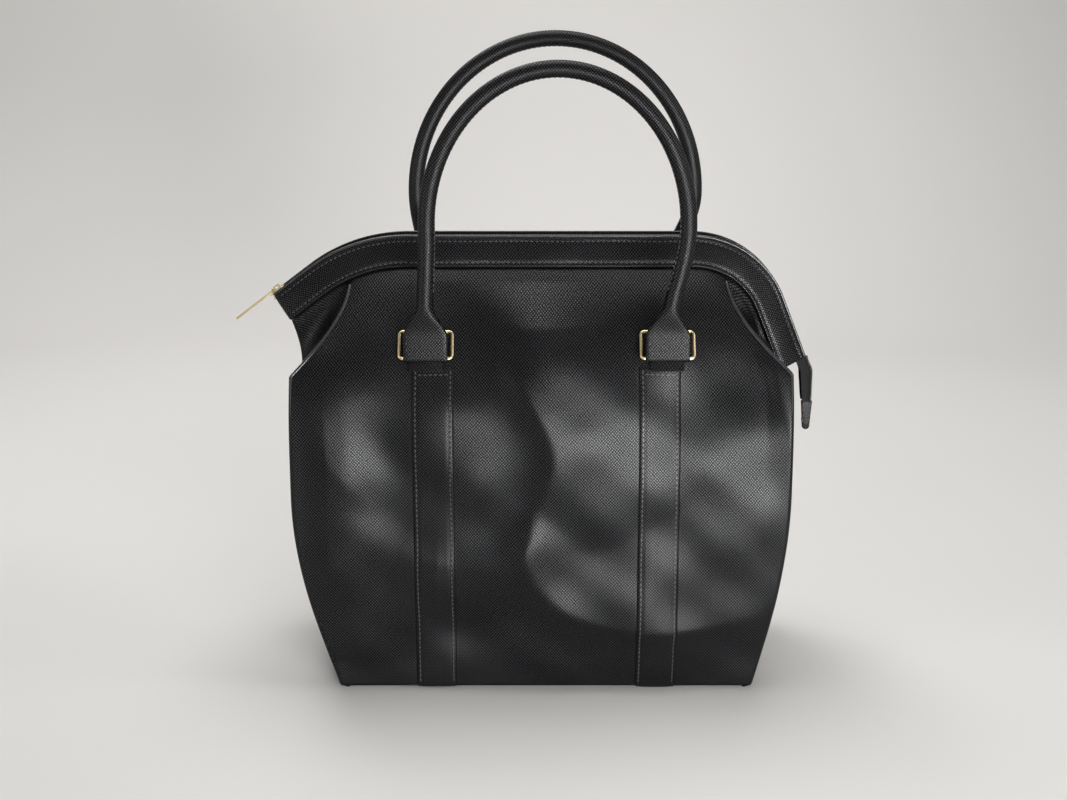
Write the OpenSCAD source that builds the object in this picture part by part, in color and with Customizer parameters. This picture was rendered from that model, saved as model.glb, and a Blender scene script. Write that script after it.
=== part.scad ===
/* [Body] */
// Distance from the middle to the left side where it is widest
left_w = 198; // [190:1:206]
// Distance from the middle to the right side where it is widest
right_w = 190; // [186:1:200]
// Width of the base
base_w = 330; // [300:10:350]
// Depth of the base from front to rear
base_d = 150; // [130:5:170]
// Height of the zip line above the floor
body_h = 354; // [330:2:380]
// How far the front and rear bulge past the base
bulge = 8; // [4:1:14]
// Thickness of the coated fabric
skin_t = 1.8; // [1.2:0.1:2.4]
// Thickness of the lining cloth
lining_t = 0.7; // [0.5:0.1:1]
// Thickness of the stiffening board in the base
board_t = 2.4; // [1.6:0.2:3.2]

/* [Mouth] */
// Distance from the middle to where the left end of the zip starts to fall
left_flat = 110; // [100:2:116]
// Radius of the left shoulder of the mouth
left_r = 130; // [120:1:136]
// Angle through which the left shoulder falls
left_turn = 37; // [34:1:39]
// Straight length of the zip past the left shoulder
left_run = 34; // [30:1:38]
// Distance from the middle to where the right end of the zip starts to fall
right_flat = 115; // [108:1:118]
// Radius of the right shoulder of the mouth
right_r = 78; // [72:1:84]
// Angle through which the right shoulder falls
right_turn = 68; // [64:1:70]
// Straight length of the zip past the right shoulder
right_run = 52; // [46:1:56]
// Height of the stitched band along the mouth
band_h = 23; // [20:1:26]
// Distance between the two bands across the zip
mouth_gap = 22; // [20:1:26]
// Distance from the middle to the left front corner where it meets the band
left_corner = 155; // [150:1:160]
// Distance from the middle to the right front corner where it meets the band
right_corner = 142; // [138:1:146]

/* [Zip] */
// Thickness of the zip tape
tape_t = 0.8; // [0.6:0.1:1]
// Width of the closed row of teeth
coil_w = 6; // [5:0.5:7]
// Height of the teeth
coil_t = 2.4; // [2:0.2:3]
// Distance from one tooth to the next
tooth_pitch = 4.9; // [4.5:0.1:6]
// Length of the zip slider
slider_l = 13; // [12:0.5:15]
// Width of the zip slider
slider_w = 10; // [9:0.5:11]
// Length of the pull from its pin to its tip
pull_l = 39; // [32:1:44]
// Width of the pull
pull_w = 5; // [4.5:0.5:6]
// Length of the loose zip end that hangs at the right
tail_l = 62; // [54:2:70]
// Length of the folded cover on the loose zip end
cover_l = 33; // [28:1:38]

/* [Straps and rings] */
// Distance from the middle of the bag to the middle of each strap
strap_x = 87; // [84:1:90]
// Width of each sewn strap
strap_w = 32; // [30:1:34]
// Thickness of each sewn strap
strap_t = 1.6; // [1.2:0.1:2]
// Distance from the lower bars of the rings down to the ends of the straps
strap_gap = 8; // [4:1:16]
// Distance from the middle of the bag to the middle of each ring
ring_x = 92.5; // [90:0.5:95]
// Overall width of a ring
ring_w = 43; // [41:0.5:46]
// Distance between the two bars of a ring
ring_h = 22; // [20:0.5:24]
// Diameter of the ring wire
wire_d = 2.4; // [2:0.1:2.8]
// How far the rings lean back against the bag
ring_lean = 33; // [30:1:36]
// How far the lower bar of each ring hangs below the zip line
ring_drop = 84; // [80:1:86]

/* [Handles] */
// Diameter of the rolled handles
handle_d = 13; // [12:0.5:14]
// Diameter of the cord inside a handle
core_d = 8; // [7:0.5:9]
// Height of the front handle above its rings
front_handle_h = 224; // [210:2:232]
// Width of the front handle at its widest, along the middle of the roll
front_handle_w = 196; // [188:2:208]
// Height of the rear handle above its rings
rear_handle_h = 239; // [220:1:244]
// Width of the rear handle at its widest, along the middle of the roll
rear_handle_w = 230; // [216:2:236]
// How far the arches of the handles lean to the right
handle_lean = 8; // [0:1:10]
// Width of the flat ends of the handles
tab_w = 34; // [32:0.5:35]
// Height of the flat ends of the handles
tab_h = 18; // [16:1:20]

/* [Hidden] */

// Clearance between pieces that lie against each other
fit = 0.3;
// Overrun of every cut past the face it opens
over = 1;
black = [0.06, 0.06, 0.065];
gold = [0.80, 0.68, 0.42];

// Panel shares: where the walls start to lean in, and how sharply
lean_share = 0.6;
lean_power = 2.2;
tuck_share = 0.79;
flare_share = 0.5;
// How far the side fold is pinched in below the mouth
pinch = 9;
// How far the panels reach up behind the bands, and their play there
tuck = 1;
tuck_gap = 1.2;
// Half the depth of the bands at their lower edge, which the bag's fullness pushes outwards
band_out_w = 9;
band_y = mouth_gap / 2 + band_out_w;
// How fast a wall opens out again below the bands, and past the ends of the zip
open_slope = 2;
past_factor = 2;
// Height share above which the front and rear are kept behind the bands
cap_share = 0.955;
// Step, as a share of a face, over which its slope is measured
slope_step = 0.002;

function mix(a, b, t) = a + (b - a) * t;
function ramp(h, from, power) = pow(max(0, (h - from) / (1 - from)), power);
function unit(v) = v / norm(v);

// Zip line: a path along the mouth, from its left end to its right end
left_arc = left_r * left_turn * PI / 180;
right_arc = right_r * right_turn * PI / 180;
flat_run = left_flat + right_flat;
zip_len = left_run + left_arc + flat_run + right_arc + right_run;

// Slope of the zip line, in degrees, at a distance along it
function zip_turn(s) =
    s < left_run ? left_turn
    : s < left_run + left_arc ? left_turn * (1 - (s - left_run) / left_arc)
    : s < left_run + left_arc + flat_run ? 0
    : -right_turn * min(1, (s - left_run - left_arc - flat_run) / right_arc);

// Point of the zip line, as x and z, at a distance along it
function zip_at(s) =
    s > zip_len - right_run
        ? let (
            past = s - (zip_len - right_run),
            cx = right_flat + right_r * sin(right_turn),
            cz = body_h - right_r * (1 - cos(right_turn))
        ) [cx + past * cos(right_turn), cz - past * sin(right_turn)]
    : s > left_run + left_arc + flat_run
        ? let (a = -zip_turn(s)) [right_flat + right_r * sin(a), body_h - right_r * (1 - cos(a))]
    : s > left_run + left_arc
        ? [s - left_run - left_arc - left_flat, body_h]
    : let (
            a = zip_turn(s),
            before = max(0, left_run - s)
        ) [
            -left_flat - left_r * sin(a) - before * cos(a),
            body_h - left_r * (1 - cos(a)) - before * sin(a)
        ];

// Point in the mouth's own space: s along the zip, y across it, drop below it
function mouth_at(s, y, drop) =
    let (p = zip_at(s), a = zip_turn(s)) [p[0] + drop * sin(a), y, p[1] - drop * cos(a)];

// Half depth of the outer face of a band at a drop below the zip line
function band_half(drop) = mix(mouth_gap / 2, band_y, drop / band_h);
seam_drop = band_h - tuck;
seam_y = band_half(seam_drop) - skin_t - tuck_gap;

// Distance along the zip line at which the seam below the band has a given x
function seam_s(x, from = 0, to = zip_len, turns = 24) =
    turns == 0 ? (from + to) / 2
    : mouth_at((from + to) / 2, 0, seam_drop)[0] < x
        ? seam_s(x, (from + to) / 2, to, turns - 1)
        : seam_s(x, from, (from + to) / 2, turns - 1);
left_s = seam_s(-left_corner);
right_s = seam_s(right_corner);

// Distance out to a side at a height share, before the mouth draws it in
function flared(h, left) =
    mix(base_w / 2, left ? left_w : right_w, sin(90 * min(1, h / flare_share)));
// How far the mouth has drawn a corner in at a height share, from 0 to 1
function draw(h) = sin(90 * ramp(h, tuck_share, 1));
function corner_x(h, left) = mix(flared(h, left), left ? left_corner : right_corner, draw(h));
// Half depth of the front or rear at a height share
function wall_y(h) =
    base_d / 2 + bulge * sin(180 * h) - (base_d / 2 - seam_y) * ramp(h, lean_share, lean_power);

// How far below the zip line a point of the front's plane lies
mouth_left = zip_at(0);
mouth_right = zip_at(zip_len);
function drop_at(x, z) =
    let (
        flat = x > 0 ? right_flat : left_flat,
        r = x > 0 ? right_r : left_r,
        turn = x > 0 ? right_turn : left_turn,
        end = x > 0 ? mouth_right : mouth_left,
        out = abs(x) - flat,
        up = z - body_h + r,
        past = (abs(x) - abs(end[0])) * cos(turn) + (end[1] - z) * sin(turn)
    )
    out <= 0 ? body_h - z
    : up > 0 && atan2(out, up) < turn ? r - norm([out, up])
    : (abs(end[0]) - abs(x)) * sin(turn) + (end[1] - z) * cos(turn) + past_factor * max(0, past);
// Half depth that is free behind the bands at that point
function free_y(x, z) =
    let (d = drop_at(x, z))
    band_half(min(d, band_h)) - skin_t - tuck_gap + open_slope * max(0, d - band_h);

// Height of the seam above a point across the front, u from -1 at the left to 1 at the right
function seam_z(u) =
    mouth_at(u < 0 ? seam_s(u * left_corner) : seam_s(u * right_corner), 0, seam_drop)[2];

// Outer face of the front: u across from -1 to 1, h up from 0 to 1
function front_at(u, h) =
    let (x = u * corner_x(h, u < 0), z = h * seam_z(u))
    [x, -(h > cap_share ? min(wall_y(h), free_y(x, z)) : wall_y(h)), z];
// Outer face of the front at a fixed x
function front_at_x(x, h) = front_at(x / corner_x(h, x < 0), h);

// Room for a leaning wall's thickness, measured across the bag
lean_factor = 1.5;
function side_gap(h) = (skin_t + fit) * mix(1, lean_factor, ramp(h, lean_share, 1));

// Outer face of a side: u from -1 at the front to 1 at the rear
end_share = 0.3;
function side_at(left, u, h) =
    let (
        a = abs(u),
        dir = left ? -1 : 1,
        end_s = left ? 0 : zip_len,
        corner_s = left ? left_s : right_s,
        s = a > end_share ? mix(end_s, corner_s, (a - end_share) / (1 - end_share)) : end_s,
        top = mouth_at(s, 0, seam_drop),
        inner = wall_y(h) - side_gap(h),
        top_y = (seam_y - side_gap(1)) * min(1, a / end_share),
        lean = ramp(h, lean_share, lean_power),
        nip = pinch * sin(180 * ramp(h, tuck_share, 1)) * (1 - a),
        x = mix(dir * flared(h, left), top[0], draw(h)) - dir * nip,
        z = h * top[2],
        free = max(free_y(x, z) - side_gap(1), fit)
    ) [x, sign(u) * min(mix(a * inner, top_y, lean), free), z];

// A sheet of even thickness between two depths below a face; the face is a function of u and v
module sheet(face, u0, u1, nu, v0, v1, nv, near, far, flip = false) {
    eps = slope_step;
    us = [for (i = [0:nu]) mix(u0, u1, i / nu)];
    vs = [for (j = [0:nv]) mix(v0, v1, j / nv)];
    normal = function(u, v) let (
        c = cross(
            face(min(u1, u + eps * (u1 - u0)), v) - face(max(u0, u - eps * (u1 - u0)), v),
            face(u, min(v1, v + eps * (v1 - v0))) - face(u, max(v0, v - eps * (v1 - v0)))
        )
    ) unit(c) * (flip ? -1 : 1);
    points = [
        for (depth = [near, far]) for (v = vs) for (u = us) face(u, v) - normal(u, v) * depth
    ];
    row = nu + 1;
    layer = row * (nv + 1);
    function quad(a, b, c, d) = flip ? [[a, c, b], [a, d, c]] : [[a, b, c], [a, c, d]];
    faces = [
        for (j = [0:nv - 1]) for (i = [0:nu - 1])
            let (k = j * row + i) each quad(k, k + row, k + row + 1, k + 1),
        for (j = [0:nv - 1]) for (i = [0:nu - 1])
            let (k = layer + j * row + i) each quad(k, k + 1, k + row + 1, k + row),
        for (i = [0:nu - 1]) each quad(i, i + 1, layer + i + 1, layer + i),
        for (i = [0:nu - 1])
            let (k = nv * row + i) each quad(k, layer + k, layer + k + 1, k + 1),
        for (j = [0:nv - 1])
            let (k = j * row) each quad(k, layer + k, layer + k + row, k + row),
        for (j = [0:nv - 1])
            let (k = j * row + nu) each quad(k, k + row, layer + k + row, layer + k)
    ];
    polyhedron(points = points, faces = faces);
}

// Turns the front of the bag into the rear
module at_rear(rear) {
    if (rear) mirror([0, 1, 0]) children();
    else children();
}

panel_nu = 20;
panel_nv = 14;
front_face = function(u, h) front_at(u, h);

module wall_panel() {
    color(black) sheet(front_face, -1, 1, panel_nu, 0, 1, panel_nv, 0, skin_t);
}
module front_panel() wall_panel();
module rear_panel() at_rear(true) wall_panel();

gusset_nu = 14;
gusset_nv = 12;
module gusset(left) {
    face = function(u, h) side_at(left, u, h);
    color(black) sheet(face, -1, 1, gusset_nu, 0, 1, gusset_nv, 0, skin_t, flip = left);
}
module left_gusset() gusset(true);
module right_gusset() gusset(false);

// Base: the panel that closes the bottom, with a stiff board lying on it
base_gap = skin_t + fit;
module base_panel() {
    color(black) translate([-base_w / 2 + base_gap, -base_d / 2 + base_gap, 0])
        cube([base_w - 2 * base_gap, base_d - 2 * base_gap, skin_t]);
}
board_gap = base_gap + lining_t + 3 * fit;
module base_board() {
    color([0.25, 0.22, 0.19])
        translate([-base_w / 2 + board_gap, -base_d / 2 + board_gap, skin_t])
        cube([base_w - 2 * board_gap, base_d - 2 * board_gap, board_t]);
}

// Lining: a cloth sheet behind each wall, and a slip pocket sewn to the rear one
lining_nu = 14;
lining_nv = 10;
lining_depth = skin_t + 4 * fit;
lining_edge_share = 0.96;
lining_top_share = 0.94;
lining_foot_share = 0.016;
module wall_lining() {
    color([0.16, 0.15, 0.15]) sheet(
        front_face, -lining_edge_share, lining_edge_share, lining_nu,
        lining_foot_share, lining_top_share, lining_nv, lining_depth, lining_depth + lining_t
    );
}
module front_lining() wall_lining();
module rear_lining() at_rear(true) wall_lining();

pocket_w = 200;
pocket_foot_share = 0.38;
pocket_top_share = 0.74;
pocket_depth = lining_depth + lining_t + 3 * fit;
pocket_nu = 8;
pocket_nv = 6;
module slip_pocket() {
    face = function(x, h) front_at_x(x, h);
    color([0.16, 0.15, 0.15]) at_rear(true) sheet(
        face, -pocket_w / 2, pocket_w / 2, pocket_nu,
        pocket_foot_share, pocket_top_share, pocket_nv, pocket_depth, pocket_depth + lining_t
    );
}

// Band: the doubled strip sewn along each side of the mouth
band_n = 44;
module band() {
    face = function(s, drop) mouth_at(s, -band_half(drop), drop);
    color(black) sheet(face, 0, zip_len, band_n, band_h, 0, 1, 0, skin_t);
}
module front_band() band();
module rear_band() at_rear(true) band();

// Zip tape: a flat strip from the band to the teeth
tape_drop = coil_t / 2;
tape_out = mouth_gap / 2 - skin_t - fit;
module zip_tape() {
    face = function(s, y) mouth_at(s, y, tape_drop);
    color(black) sheet(face, 0, zip_len, band_n, -tape_out, -coil_w / 2 - fit, 1, 0, tape_t);
}
module front_zip_tape() zip_tape();
module rear_zip_tape() at_rear(true) zip_tape();

// Teeth: one ridged row on each side of the middle
tooth_share = 0.35;
teeth_count = floor(zip_len / tooth_pitch);
module teeth_row(path, length, count) {
    face = function(s, y) path(s, y);
    profile = [[-coil_w / 2, 0], [-fit / 2, 0], [-fit / 2, 1], [-coil_w / 2, 1]];
    rings = 2 * count;
    points = [
        for (i = [0:rings]) for (c = profile)
            path(length * i / rings, c[0],
                c[1] * coil_t * (i % 2 == 0 ? 1 : 1 - tooth_share))
    ];
    side = len(profile);
    faces = [
        [for (k = [0:side - 1]) k],
        [for (k = [side - 1:-1:0]) rings * side + k],
        for (i = [0:rings - 1]) for (k = [0:side - 1])
            let (a = i * side + k, b = i * side + (k + 1) % side)
                each [[a, a + side, b], [b, a + side, b + side]]
    ];
    polyhedron(points = points, faces = faces);
}
teeth_path = function(s, y, up) mouth_at(s, y, coil_t - up);
module zip_teeth() {
    color(black) teeth_row(teeth_path, zip_len, teeth_count);
}
module front_zip_teeth() zip_teeth();
module rear_zip_teeth() at_rear(true) zip_teeth();

// Straps: sewn up the front and rear, from the base to below the rings
strap_n = 14;
strap_foot_share = 0.004;
strap_top = body_h - ring_drop - strap_gap;
strap_share = strap_top / (body_h - seam_drop);
module strap(side) {
    face = function(x, h) front_at_x(x, h);
    color(black) sheet(
        face, side * strap_x - strap_w / 2, side * strap_x + strap_w / 2, 2,
        strap_foot_share, strap_share, strap_n, -fit - strap_t, -fit
    );
}
module front_left_strap() strap(-1);
module front_right_strap() strap(1);
module rear_left_strap() at_rear(true) strap(-1);
module rear_right_strap() at_rear(true) strap(1);

// Ring places: the lower bar carries the handle, the upper bar lies in the chape
ring_z = body_h - ring_drop;
leather_t = 1.5;
bore_gap = 0.05;
wire_r = wire_d / 2;
loop_r = wire_r + bore_gap + leather_t;
leaf_t = 0.9;
leaf_y = loop_r + fit;
function wall_at_z(z) = wall_y(z / (body_h - seam_drop));
upper_z = ring_z + ring_h * cos(ring_lean);
chape_clear = fit / cos(ring_lean);
upper_y = wall_at_z(upper_z) + chape_clear + (leaf_y + leaf_t) / cos(ring_lean);
lower_y = upper_y + ring_h * sin(ring_lean);

// Places a piece drawn about a ring's upper bar, with the ring hanging down along -Z
module at_ring(side) {
    translate([side * ring_x, -upper_y, upper_z]) rotate([-ring_lean, 0, 0]) children();
}

ring_corner = 3;
module ring(side) {
    color(gold) at_ring(side) {
        bar = ring_w - wire_d - 2 * ring_corner;
        rise = ring_h - 2 * ring_corner;
        for (z = [0, -ring_h]) translate([-bar / 2, 0, z]) rotate([0, 90, 0])
            cylinder(h = bar, r = wire_r, $fn = 24);
        for (x = [-1, 1]) translate([x * (bar / 2 + ring_corner), 0, -ring_corner - rise])
            cylinder(h = rise, r = wire_r, $fn = 24);
        for (x = [-1, 1]) for (low = [0, 1])
            translate([x * bar / 2, 0, low == 1 ? ring_corner - ring_h : -ring_corner])
            rotate([90, x == 1 ? (low == 1 ? 90 : 0) : (low == 1 ? 180 : -90), 0])
            rotate_extrude(angle = 90, $fn = 48) translate([ring_corner, 0])
            circle(r = wire_r, $fn = 24);
    }
}
module front_left_ring() ring(-1);
module front_right_ring() ring(1);
module rear_left_ring() at_rear(true) ring(-1);
module rear_right_ring() at_rear(true) ring(1);

// Chape: a leather loop round the upper bar, whose leaf runs down the wall to the strap
chape_w = 26;
leaf_l = (upper_z - strap_top) / cos(ring_lean) - fit;
module chape(side) {
    color(black) at_ring(side) difference() {
        union() {
            translate([-chape_w / 2, 0, 0]) rotate([0, 90, 0])
                cylinder(h = chape_w, r = loop_r, $fn = 48);
            translate([-chape_w / 2, leaf_y, -leaf_l]) cube([chape_w, leaf_t, leaf_l]);
            translate([-chape_w / 2, 0, -loop_r / 2]) cube([chape_w, leaf_y + leaf_t, loop_r]);
        }
        translate([-chape_w / 2 - over, 0, 0]) rotate([0, 90, 0])
            cylinder(h = chape_w + 2 * over, r = wire_r + bore_gap, $fn = 48);
    }
}
module front_left_chape() chape(-1);
module front_right_chape() chape(1);
module rear_left_chape() at_rear(true) chape(-1);
module rear_right_chape() at_rear(true) chape(1);

// Handle end: the flat leather end folded round the lower bar
tab_t = 2 * loop_r;
module tab(side) {
    color(black) translate([side * ring_x, -lower_y, ring_z]) difference() {
        union() {
            translate([-tab_w / 2, 0, 0]) rotate([0, 90, 0])
                cylinder(h = tab_w, r = loop_r, $fn = 48);
            translate([-tab_w / 2, -loop_r, 0]) cube([tab_w, tab_t, tab_h]);
        }
        translate([-tab_w / 2 - over, 0, 0]) rotate([0, 90, 0])
            cylinder(h = tab_w + 2 * over, r = wire_r + bore_gap, $fn = 48);
    }
}
module front_left_tab() tab(-1);
module front_right_tab() tab(1);
module rear_left_tab() at_rear(true) tab(-1);
module rear_right_tab() at_rear(true) tab(1);

// Handle: a rolled tube that flares to each flat end, over a cord core
handle_n = 40;
handle_side = 12;
core_side = 8;
leg_share = 0.42;
flare_l = 24;
handle_z0 = ring_z + tab_h;
// Centreline of a handle: t from 0 at the left end to 1 at the right end
leg_turn_share = 0.25;
function handle_at(t, high, wide) =
    let (
        top = ring_z + high - handle_d / 2,
        leg_top = mix(handle_z0, top, leg_share),
        q = min(1, t / leg_turn_share, (1 - t) / leg_turn_share),
        dir = t < 0.5 ? -1 : 1,
        out = (1 - cos(180 * q)) / 2,
        a = 180 * (t - leg_turn_share) / (1 - 2 * leg_turn_share)
    ) q < 1
        ? [dir * mix(ring_x, wide / 2, out) + handle_lean * out, mix(handle_z0, leg_top, q)]
        : [handle_lean - wide / 2 * cos(a), leg_top + (top - leg_top) * sin(a)];
// Half width and half thickness of the roll at a height above its flat end
function roll_size(up) =
    let (k = min(1, up / flare_l), e = (1 - cos(180 * k)) / 2)
    [mix(tab_w / 2, handle_d / 2, pow(e, 0.7)), mix(tab_t / 2, handle_d / 2, e)];

module roll(high, wide, sides, shrink, far) {
    n = handle_n;
    eps = slope_step;
    ts = [for (i = [0:n]) mix(far, 1 - far, i / n)];
    points = [
        for (t = ts)
            let (
                c = handle_at(t, high, wide),
                d = handle_at(min(1, t + eps), high, wide)
                    - handle_at(max(0, t - eps), high, wide),
                w = roll_size(c[1] - handle_z0),
                flat = c[1] - handle_z0 < flare_l / 12,
                nx = flat ? [t < 0.5 ? -1 : 1, 0] : unit([-d[1], d[0]]),
                side = flat && t > 0.5 ? -1 : 1
            )
            for (k = [0:sides - 1])
                let (a = 360 * k / sides, r0 = w * shrink)
                [
                    c[0] + side * nx[0] * r0[0] * cos(a),
                    r0[1] * sin(a) - lower_y,
                    c[1] + side * nx[1] * r0[0] * cos(a)
                ]
    ];
    faces = [
        [for (k = [sides - 1:-1:0]) k],
        [for (k = [0:sides - 1]) n * sides + k],
        for (i = [0:n - 1]) for (k = [0:sides - 1])
            let (a = i * sides + k, b = i * sides + (k + 1) % sides)
                each [[a, b, a + sides], [b, b + sides, a + sides]]
    ];
    polyhedron(points = points, faces = faces);
}
core_far_share = 0.09;
module handle(high, wide) {
    color(black) difference() {
        roll(high, wide, handle_side, 1, 0);
        roll(high, wide, core_side, (core_d + 2 * fit) / handle_d, core_far_share);
    }
}
module core(high, wide) {
    color([0.8, 0.78, 0.72])
        roll(high, wide, core_side, core_d / handle_d, core_far_share);
}
module front_handle() handle(front_handle_h, front_handle_w);
module rear_handle() at_rear(true) handle(rear_handle_h, rear_handle_w);
module front_handle_core() core(front_handle_h, front_handle_w);
module rear_handle_core() at_rear(true) core(rear_handle_h, rear_handle_w);

// Slider: two plates round the teeth, joined by a wedge ahead of them, with a bridge for the pull
slider_s = 2;
plate_t = 1;
plate_r = slider_w / 4;
wedge_l = 2.2;
wedge_w = 3;
bridge_w = 2.4;
bridge_t = 1.1;
bridge_l = slider_l / 2 + bridge_t;
pin_r = 0.9;
pull_t = 1.6;
eye_l = 7;
eye_gap = 0.5;
eye_w = bridge_w + 2 * eye_gap;
bridge_rise = 2 * pin_r + 2 * fit;
// Place of the pull's pin on the slider, along it and above the zip line
pin_x = -bridge_l / 2 + bridge_t + fit + pin_r;
pin_z = fit + plate_t + fit + pin_r;

module at_slider() {
    p = zip_at(slider_s);
    translate([p[0], 0, p[1]]) rotate([0, -zip_turn(slider_s), 0]) children();
}
module slider_plate() {
    x = slider_l / 2 - plate_r;
    y = slider_w / 2 - plate_r;
    linear_extrude(plate_t) union() {
        square([slider_l, 2 * y], center = true);
        square([2 * x, slider_w], center = true);
        for (i = [-1, 1]) for (j = [-1, 1])
            translate([i * x, j * y]) circle(r = plate_r, $fn = 32);
    }
}
module zip_slider() {
    color(gold) at_slider() union() {
        translate([0, 0, fit]) slider_plate();
        translate([0, 0, -coil_t - fit - plate_t]) slider_plate();
        translate([-slider_l / 2 + plate_r / 2, -wedge_w / 2, -coil_t - fit - plate_t / 2])
            cube([wedge_l, wedge_w, coil_t + 2 * fit + plate_t]);
        for (x = [-bridge_l / 2, bridge_l / 2 - bridge_t])
            translate([x, -bridge_w / 2, fit + plate_t / 2])
            cube([bridge_t, bridge_w, bridge_rise + plate_t / 2 + bridge_t / 2]);
        translate([-bridge_l / 2, -bridge_w / 2, fit + plate_t + bridge_rise])
            cube([bridge_l, bridge_w, bridge_t]);
    }
}

// Pull: a flat bar whose eye lies round the bridge and whose end bar is its pin
module zip_pull() {
    color(gold) at_slider() translate([pin_x, 0, pin_z]) {
        translate([0, pull_w / 2, 0]) rotate([90, 0, 0]) cylinder(h = pull_w, r = pin_r, $fn = 32);
        difference() {
            translate([-pull_l, -pull_w / 2, -pull_t / 2]) cube([pull_l, pull_w, pull_t]);
            translate([-eye_l, -eye_w / 2, -pull_t]) cube([eye_l + over, eye_w, 2 * pull_t]);
        }
    }
}

// Loose zip end: it bends out past the band and hangs, folded along its teeth
tail_top = mouth_at(zip_len, 0, 0);
tail_gap = fit * 3;
tail_x = tail_top[0] + coil_t;
tail_z = tail_top[2] - tail_gap;
tape_leaf = mouth_gap / 2 - coil_w / 2;
tape_fold = 140;
module tail_tape() {
    color(black) for (y = [-1, 1])
        translate([tail_x - fit, y * (coil_w / 4 + fit), tail_z - tail_l + cover_l])
        rotate([0, 0, y * tape_fold]) translate([0, y > 0 ? -tape_t : 0, 0])
        cube([tape_leaf, tape_t, tail_l - cover_l]);
}
module tail_teeth() {
    color(black) translate([tail_x, -coil_w / 4, tail_z - tail_l + cover_l + fit])
        cube([coil_t, coil_w / 2, tail_l - cover_l - fit]);
}
cover_w = 11;
cover_t = 4;
module tail_cover() {
    color(black) translate([tail_x + coil_t, 0, tail_z - tail_l]) rotate([90, 0, 0])
        translate([0, 0, -cover_t / 2]) linear_extrude(cover_t) hull() {
            translate([-cover_w / 2, cover_w / 3]) circle(r = cover_w / 3, $fn = 32);
            translate([-cover_w, cover_l - over]) square([cover_w, over]);
        }
}

front_panel();
rear_panel();
left_gusset();
right_gusset();
base_panel();
base_board();
front_lining();
rear_lining();
slip_pocket();
front_band();
rear_band();
front_zip_tape();
rear_zip_tape();
front_zip_teeth();
rear_zip_teeth();
front_left_strap();
front_right_strap();
rear_left_strap();
rear_right_strap();
front_left_chape();
front_right_chape();
rear_left_chape();
rear_right_chape();
front_left_ring();
front_right_ring();
rear_left_ring();
rear_right_ring();
front_handle();
rear_handle();
front_handle_core();
rear_handle_core();
front_left_tab();
front_right_tab();
rear_left_tab();
rear_right_tab();
zip_slider();
zip_pull();
tail_tape();
tail_teeth();
tail_cover();
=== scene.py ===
import math

import bmesh
import bpy
import numpy as np
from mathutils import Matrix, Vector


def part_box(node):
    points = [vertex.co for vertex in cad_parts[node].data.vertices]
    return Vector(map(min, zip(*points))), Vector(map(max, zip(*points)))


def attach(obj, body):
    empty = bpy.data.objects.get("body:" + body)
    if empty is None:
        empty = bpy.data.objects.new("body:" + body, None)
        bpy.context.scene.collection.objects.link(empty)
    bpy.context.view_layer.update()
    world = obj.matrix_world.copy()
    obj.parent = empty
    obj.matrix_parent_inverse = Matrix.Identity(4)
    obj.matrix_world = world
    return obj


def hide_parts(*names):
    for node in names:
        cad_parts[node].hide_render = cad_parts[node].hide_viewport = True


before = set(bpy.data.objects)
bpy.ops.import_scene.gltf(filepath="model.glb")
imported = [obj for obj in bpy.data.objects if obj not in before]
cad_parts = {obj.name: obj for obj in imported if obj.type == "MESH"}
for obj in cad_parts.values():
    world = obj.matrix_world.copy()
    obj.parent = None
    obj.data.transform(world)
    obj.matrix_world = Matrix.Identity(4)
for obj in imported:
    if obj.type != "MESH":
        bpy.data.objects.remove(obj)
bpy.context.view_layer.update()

# Base: a stiff board in the bottom of the bag, over a panel of the same coated leather as the
# walls. The panel is cut flat and sewn to the walls all round; the board lies loose on it.
MM = 0.001
skin_t = 1.8 * MM
base_min, base_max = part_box("base_panel")
wall_gap = 2.1 * MM
base_w = base_max.x - base_min.x + 2 * wall_gap
base_d = base_max.y - base_min.y + 2 * wall_gap


def linear(code):
    """The linear colour of an sRGB hex code."""
    parts = [int(code[i:i + 2], 16) / 255 for i in (1, 3, 5)]
    return [p / 12.92 if p <= 0.04045 else ((p + 0.055) / 1.055) ** 2.4 for p in parts] + [1]


def add(tree, kind, settings=None, links=None):
    """Adds a shader node: settings go to its attributes or sockets, links to its sockets."""
    made = tree.nodes.new("ShaderNode" + kind)
    for key, value in (settings or {}).items():
        if isinstance(key, str) and hasattr(made, key):
            setattr(made, key, value)
        else:
            made.inputs[key].default_value = value
    for key, output in (links or {}).items():
        tree.links.new(output, made.inputs[key])
    return made


def new_finish(name, roughness, metallic=0.0, ior=1.5):
    """A material with its shader set to the plain values of what it is made of."""
    material = bpy.data.materials.new(name)
    material.use_nodes = True
    tree = material.node_tree
    shader = tree.nodes["Principled BSDF"]
    shader.inputs["Roughness"].default_value = roughness
    shader.inputs["Metallic"].default_value = metallic
    shader.inputs["IOR"].default_value = ior
    return material, tree, shader


def patterned(finish, pattern, dark, light, rough=None, bump=None):
    """Gives a finish its colours from a pattern, and from the same pattern its range of roughness
    and its bump, as a strength and a depth, where these are given."""
    material, tree, shader = finish
    tones = add(tree, "ValToRGB", links={"Fac": pattern})
    for element, code in zip(tones.color_ramp.elements, (dark, light)):
        element.color = linear(code)
    tree.links.new(tones.outputs[0], shader.inputs["Base Color"])
    if rough:
        spread = add(tree, "MapRange", {"To Min": rough[0], "To Max": rough[1]}, {"Value": pattern})
        tree.links.new(spread.outputs[0], shader.inputs["Roughness"])
    if bump:
        raised = add(tree, "Bump", {"Strength": bump[0], "Distance": bump[1]}, {"Height": pattern})
        tree.links.new(raised.outputs[0], shader.inputs["Normal"])
    return material


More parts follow.
